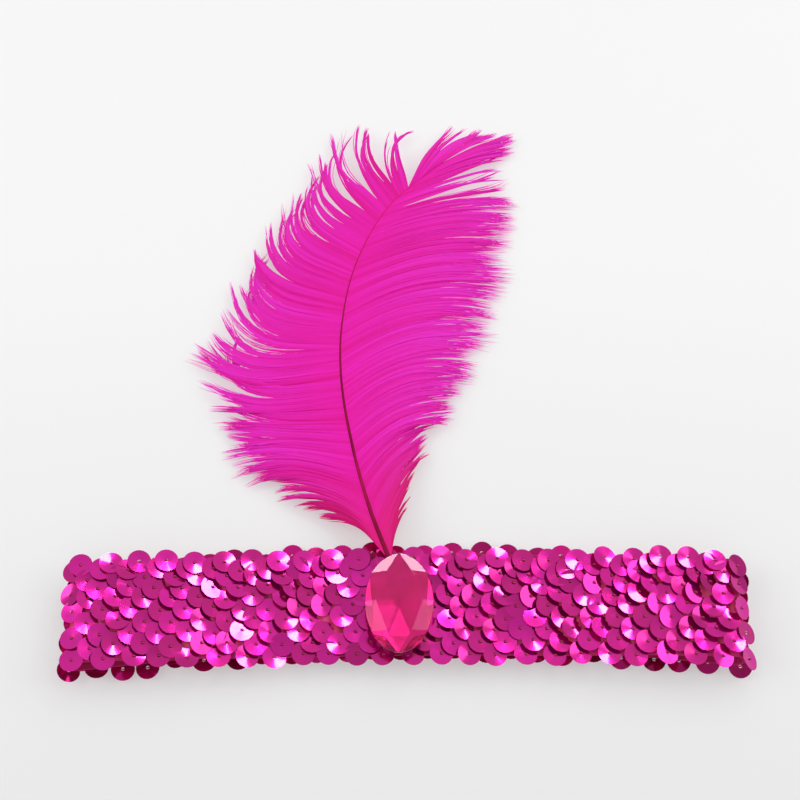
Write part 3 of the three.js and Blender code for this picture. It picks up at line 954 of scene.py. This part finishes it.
vane = {
    "barbs": 3200,  # on each side
    "steps": 10,
    "rootOut": 0.8,  # in radii of the quill, to the side and up
    "rootUp": 0.2,
    "tipHeight": 1.1,
    "fall": 1.3,  # power of the way down from the quill to the tips
    "arch": 1.1,
    "tuftSpread": 0.75,  # how uneven the widths of tufts and wisps are
    "wispSpread": 0.6,
    "tuftLength": (0.9, 1.06),
    "wispLength": (0.84, 1.06),
    "longest": 1.07,
    "calm": 0.3,  # what is left of the unevenness where a section isn't wild
    "shorter": 0.36,  # the most that single barbs are shorter by, and how seldom
    "shortPower": 1.7,
    "tuftTwist": 7.0,  # degrees
    "wispTwist": 5.0,
    "tuftCurl": 20.0,
    "wispCurl": 26.0,
    "looseTwist": 1.5,
    "looseCurl": 8.0,
    "strays": 0.06,  # share of barbs that stay looser, and how much of the drawing they get
    "strayDrawn": 0.4,
    "drawn": 0.92,  # how far barbs are drawn to their wisp, and over which share of their length
    "drawnOver": 0.55,
    "waves": (4.0, 9.0),  # radians along a barb
    "wavePhase": 6.3,
    "sway": 0.22,
    "swayCalm": 0.4,
    "bundleWidth": 0.6,  # bundles of a few barbs lie at one height and have one shade
    "bundleSpread": 0.4,
    "layerRise": 0.24,
    "layerFrom": 0.3,
    "floorGap": 0.35,
    "width": 0.36,
    "widthSpread": (0.7, 1.2),
    "taper": 0.3,
    "tipTaper": 0.35,
    "tipPower": 5,
    "profile": ((-0.5, 0.12), (0.0, -0.3), (0.5, 0.12)),  # across and up, in widths
    "shades": (0.15, 0.55, 0.3),  # shares by barb, bundle and wisp
    # the outer tone is lighter as painted light, for the pale floor showing through the thin tips; the inner one
    # darker as painted shade of the barbs layered near the quill
    "innerTones": ((0.0, (0.86, 0.001, 0.3)), (1.0, (1.0, 0.013, 0.6))),
    "outerTones": ((0.0, (0.94, 0.006, 0.47)), (1.0, (1.0, 0.052, 0.86))),
    "rootTone": (0.88, 0.012, 0.19),  # redder near the stone
    "rootShare": 0.75,
    "rootSpan": (8.0, 40.0),
    "through": 0.18,  # light that comes through a barb
    "finish": {"Roughness": 0.7, "Specular IOR Level": 0.15},
}

# sections of a side of the feather by distance along the quill: length of the barbs, their ways in plan at
# the quill and at the tips in degrees from +X, the share of their length at which they part into wisps, how far
# wisps gather into tufts, and how wild their tips are
sectionColumns = ("along", "length", "rootWay", "tipWay", "parts", "gather", "wild")
leftVane = {
    "side": 1,
    "tuftWidth": 4.6,
    "wispWidth": 1.5,
    "bend": (0.2, 1.0),  # share of the length over which a barb turns from one way to the other
    "sections": (
        (9, 26, 128, 176, 0.65, 0.15, 0.3), (14, 29, 136, 178, 0.65, 0.2, 0.3), (20, 33, 146, 181, 0.6, 0.2, 0.4),
        (34, 40, 160, 184, 0.6, 0.2, 0.5), (47, 41, 173, 174, 0.6, 0.3, 0.7), (56, 43, 182, 150, 0.55, 0.3, 0.9),
        (61, 48, 186, 143, 0.55, 0.3, 0.9), (68, 49, 188, 132, 0.5, 0.3, 0.9), (75, 52, 188, 117, 0.5, 0.3, 0.9),
        (79, 48, 185, 116, 0.5, 0.4, 0.9), (79.5, 48, 178, 97, 0.45, 0.4, 0.9), (88, 47, 171, 97, 0.45, 0.3, 0.9),
        (98, 44, 162, 94, 0.4, 0.3, 0.9), (106, 40, 156, 87, 0.35, 0.4, 0.9), (112, 39, 150, 82, 0.2, 0.6, 1.0),
        (119, 38, 145, 76, 0.12, 0.8, 1.0), (125, 38, 139, 70, 0.08, 0.8, 1.0), (131, 37, 132, 66, 0.06, 0.75, 1.0),
        (136, 38, 124, 54, 0.05, 0.6, 1.1), (141, 32, 112, 44, 0.05, 0.4, 1.2), (144.3, 28, 100, 80, 0.1, 0.25, 1.1),
        (144.31, 31, 66, 26, 0.2, 0.3, 0.8), (149, 30, 50, 28, 0.7, 0.2, 0.4), (157, 28, 34, 25, 0.75, 0.1, 0.3),
    ),
}
rightVane = {
    "side": -1,
    "tuftWidth": 4.0,
    "wispWidth": 1.2,
    "bend": (0.05, 0.95),
    "sections": (
        (7, 16, 88, 68, 0.35, 0.3, 0.5), (11, 31, 80, 62, 0.35, 0.3, 0.5), (20, 32, 68, 50, 0.4, 0.3, 0.5),
        (27, 31, 62, 42, 0.5, 0.3, 0.4), (35, 31, 55, 28, 0.6, 0.2, 0.35), (40, 38, 49, 8, 0.7, 0.15, 0.3),
        (54, 44, 42, 2, 0.82, 0.1, 0.22), (70, 52, 35, -4, 0.85, 0.05, 0.2), (92, 57, 29, -4, 0.86, 0.05, 0.18),
        (111, 54, 25, 1, 0.86, 0.05, 0.18), (131.5, 46, 19, 6, 0.75, 0.2, 0.3), (131.6, 44, 22, 18, 0.1, 0.8, 0.4),
        (136, 43, 25, 19, 0.25, 0.6, 0.4), (144, 39, 30, 21, 0.6, 0.3, 0.3), (157, 32, 31, 24, 0.75, 0.1, 0.25),
    ),
}


def barbMaterial():
    material, tree, shader = newMaterial("dyedBarbs")
    shade = attribute(tree, "shade")
    inner, outer = ramp(tree, shade, vane["innerTones"]), ramp(tree, shade, vane["outerTones"])
    # lighter towards the tips as painted light, darker near the quill as painted shade
    body = mixColours(tree, attribute(tree, "reach"), inner, outer)
    surfaceColour = mixColours(tree, attribute(tree, "root"), body, opaque(vane["rootTone"]))
    link(surfaceColour, shader.inputs["Base Color"])
    setInputs(shader, vane["finish"])
    glow = node(tree, "ShaderNodeBsdfTranslucent")
    link(surfaceColour, glow.inputs["Color"])
    mixSurfaces(tree, vane["through"], shader, glow)
    return material


def sectionValues(sections, along, names):
    table = dict(zip(sectionColumns, np.array(sections, dtype=float).T))
    return [np.interp(along, table["along"], table[name]) for name in names]


def barbLines(half, along, share, twist, curl):
    # lines of barbs from the quill outwards, as an array of barbs by steps by places
    reach, start, end = sectionValues(half["sections"], along, ("length", "rootWay", "tipWay"))
    held = np.minimum(along, quillLength)
    place, way, aside = onQuill(held)
    past = np.maximum(along - quillLength, 0)[:, None]
    root = place + way * past + aside * (half["side"] * quillRadius(held) * vane["rootOut"])[:, None]
    root[:, 2] += quillRadius(held) * vane["rootUp"]
    steps = vane["steps"]
    t = np.linspace(0, 1, steps + 1)[None, :] * share[:, None]
    middle = (t[:, 1:] + t[:, :-1]) / 2
    bend = smoothstep(*half["bend"], middle)
    angle = np.radians(start[:, None] + (end - start + twist)[:, None] * bend + curl[:, None] * middle ** 3)
    stride = (reach * share / steps)[:, None]
    line = np.zeros((len(along), steps + 1, 3))
    line[:, 1:, 0] = np.cumsum(np.cos(angle) * stride, axis=1)
    line[:, 1:, 1] = np.cumsum(np.sin(angle) * stride, axis=1)
    line += root[:, None, :]
    fall = (root[:, 2:3] - vane["tipHeight"]) * t ** vane["fall"]
    line[:, :, 2] = root[:, 2:3] - fall + vane["arch"] * np.sin(math.pi * np.clip(t, 0, 1))
    return line, t


def strandFaces(rings, sides):
    # a capped root, bands of triangles, and a point at the tip
    faces = [(0, 2, 1)]
    for i in range(rings - 1):
        for k in range(sides):
            a, b = i * sides + k, i * sides + (k + 1) % sides
            faces.append((a, b, b + sides))
            faces.append((a, b + sides, a + sides))
    last = (rings - 1) * sides
    for k in range(sides):
        faces.append((last + k, last + (k + 1) % sides, rings * sides))
    return np.array(faces)


def strandMesh(name, lines, widths, shade, root, reach, material):
    # a thin strand along each line with its flat side up, closed to a point at its tip
    count, rings, sides = lines.shape[0], lines.shape[1] - 1, len(vane["profile"])
    way = unit(np.gradient(lines, axis=1))
    side = unit(np.cross(way, np.array((0.0, 0.0, 1.0))))
    up = np.cross(side, way)
    corners = [lines + widths[:, :, None] * (across * side + rise * up) for across, rise in vane["profile"]]
    body = np.stack(corners, axis=2)[:, :-1].reshape(count, -1, 3)
    points = np.concatenate([body, lines[:, -1:, :]], axis=1)
    perStrand = points.shape[1]
    every = strandFaces(rings, sides)[None] + (np.arange(count) * perStrand)[:, None, None]
    piece = meshPiece(name, points.reshape(-1, 3) * mm, every.reshape(-1, 3), material)
    mesh = piece.data
    # sharp along the strand, so that its flat side shades evenly
    ends = np.empty(len(mesh.edges) * 2, dtype=int)
    mesh.edges.foreach_get("vertices", ends)
    local = ends.reshape(-1, 2) % perStrand
    farther = local.max(axis=1)
    sharp = (np.abs(local[:, 0] - local[:, 1]) == sides) | (farther == perStrand - 1) | (farther < sides)
    mesh.edges.foreach_set("use_edge_sharp", sharp)
    pointAttribute(mesh, "shade", np.repeat(shade, perStrand))
    pointAttribute(mesh, "root", np.repeat(root, perStrand))
    ringReach = np.repeat(reach[:, :-1], sides, axis=1)
    pointAttribute(mesh, "reach", np.concatenate([ringReach, reach[:, -1:]], axis=1))
    return piece


def clumps(along, first, last, width, spread):
    # middles of clumps of uneven width between two distances along the quill, and the nearest one of each barb
    steps = dice.uniform(1 - spread, 1 + spread, int((last - first) / width) + 2) * width
    middles = first + np.cumsum(steps) - steps / 2
    middles = middles[middles < last + width / 2]
    return middles, np.abs(along[:, None] - middles[None, :]).argmin(axis=1)


def swayed(lines, t, wild):
    # each barb waves a little from side to side
    count = len(wild)
    wave = np.sin(t * dice.uniform(*vane["waves"], count)[:, None]
                  + dice.uniform(0, vane["wavePhase"], count)[:, None])
    sway = (dice.normal(0, vane["sway"], count) * (vane["swayCalm"] + wild))[:, None] * wave * t
    return lines + levelAside(np.gradient(lines, axis=1)) * sway[:, :, None]


def vanePiece(name, half, material):
    count, sections = vane["barbs"], half["sections"]
    first, last = sections[0][0], sections[-1][0]
    along = first + (np.arange(count) + dice.random(count)) / count * (last - first)
    parts, gather, wild = sectionValues(sections, along, ("parts", "gather", "wild"))
    tufts, tuft = clumps(along, first, last, half["tuftWidth"], vane["tuftSpread"])
    wisps, wisp = clumps(along, first, last, half["wispWidth"], vane["wispSpread"])

    # tufts and wisps have lengths, turns and curls of their own
    def uneven(ofTuft, ofWisp):
        return (dice.normal(0, ofTuft, len(tufts))[tuft] + dice.normal(0, ofWisp, len(wisps))[wisp]) * wild
    length = dice.uniform(*vane["tuftLength"], len(tufts))[tuft] * dice.uniform(*vane["wispLength"], len(wisps))[wisp]
    stir = vane["calm"] + (1 - vane["calm"]) * wild
    share = 1 + (np.minimum(length, vane["longest"]) - 1) * np.minimum(stir, 1)
    share *= 1 - vane["shorter"] * dice.random(count) ** vane["shortPower"]
    twist = uneven(vane["tuftTwist"], vane["wispTwist"])
    curl = uneven(vane["tuftCurl"], vane["wispCurl"])
    loose = dice.normal(0, 1.0, count) * stir
    own, t = barbLines(half, along, share, twist + vane["looseTwist"] * loose, curl + vane["looseCurl"] * loose)

    # barbs are drawn to the middle of their wisp
    middle = wisps[wisp] + (tufts[tuft] - wisps[wisp]) * gather
    ofWisp, _ = barbLines(half, middle, share, twist, curl)
    held = np.where(dice.random(count) < vane["strays"], vane["strayDrawn"], 1.0)[:, None]
    drawn = smoothstep(parts[:, None], parts[:, None] + vane["drawnOver"], t) * vane["drawn"] * held
    lines = swayed(own + (ofWisp - own) * drawn[:, :, None], t, wild)

    bundles, bundle = clumps(along, first, last, vane["bundleWidth"], vane["bundleSpread"])
    layer = dice.uniform(-0.5, 0.5, count) + dice.uniform(-0.5, 0.5, len(bundles))[bundle]
    rise = layer[:, None] * vane["layerRise"] * smoothstep(0, vane["layerFrom"], t)
    lines[:, :, 2] = np.maximum(lines[:, :, 2] + rise, vane["floorGap"])
    narrowing = 1 - vane["taper"] * t - vane["tipTaper"] * t ** vane["tipPower"]
    width = vane["width"] * narrowing * dice.uniform(*vane["widthSpread"], count)[:, None]
    byBarb, byBundle, byWisp = vane["shades"]
    shade = byBarb * dice.random(count) + byBundle * dice.random(len(bundles))[bundle]
    shade += byWisp * dice.random(len(wisps))[wisp]
    root = vane["rootShare"] * (1 - smoothstep(*vane["rootSpan"], along))
    return strandMesh(name, lines, width, shade, root, t, material)


barbs = barbMaterial()
dress(vanePiece("barbs_left", leftVane, barbs), "feather_vane_left")
dress(vanePiece("barbs_right", rightVane, barbs), "feather_vane_right")
